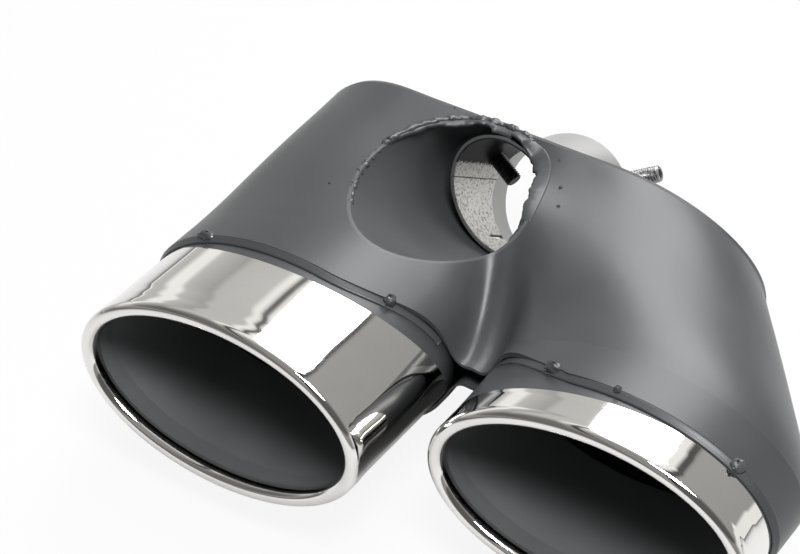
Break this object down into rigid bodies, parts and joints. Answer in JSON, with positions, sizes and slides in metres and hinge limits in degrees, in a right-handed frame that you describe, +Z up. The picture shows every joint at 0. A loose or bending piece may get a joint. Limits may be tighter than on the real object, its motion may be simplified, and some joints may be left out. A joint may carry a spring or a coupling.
{
  "type": "exhaust tip",
  "caption": "Twin oval exhaust tip: polished sleeves with black liners in a grey formed housing, with a hidden gas duct, an inlet collar and clamp screws.",
  "frame": {"origin": "on the inlet collar's axis, where its bore starts, behind the flared mouth", "axes": "+X across the tips to the right as seen from the tips, +Y to the back, towards the tailpipe, +Z up, to the face with the gas outlet"},
  "size_m": [0.3046, 0.2582, 0.1007],
  "materials": {
    "housing_paint": "satin",
    "polished_steel": "polished",
    "liner_black": "matte",
    "bare_steel": "bare",
    "screw_black": "black oxide"
  },
  "bodies": {
    "root": {"housing_shell": "housing_paint", "gas_duct": "housing_paint", "left_tip_sleeve": "polished_steel", "right_tip_sleeve": "polished_steel", "left_tip_liner": "liner_black", "right_tip_liner": "liner_black", "inlet_collar": "bare_steel", "collar_weld": "housing_paint", "weld_nut_left": "bare_steel", "weld_nut_right": "bare_steel", "clamp_screw_left": "screw_black", "clamp_screw_right": "screw_black", "tack_welds_left": "housing_paint", "tack_welds_right": "housing_paint"}
  },
  "joints": []
}
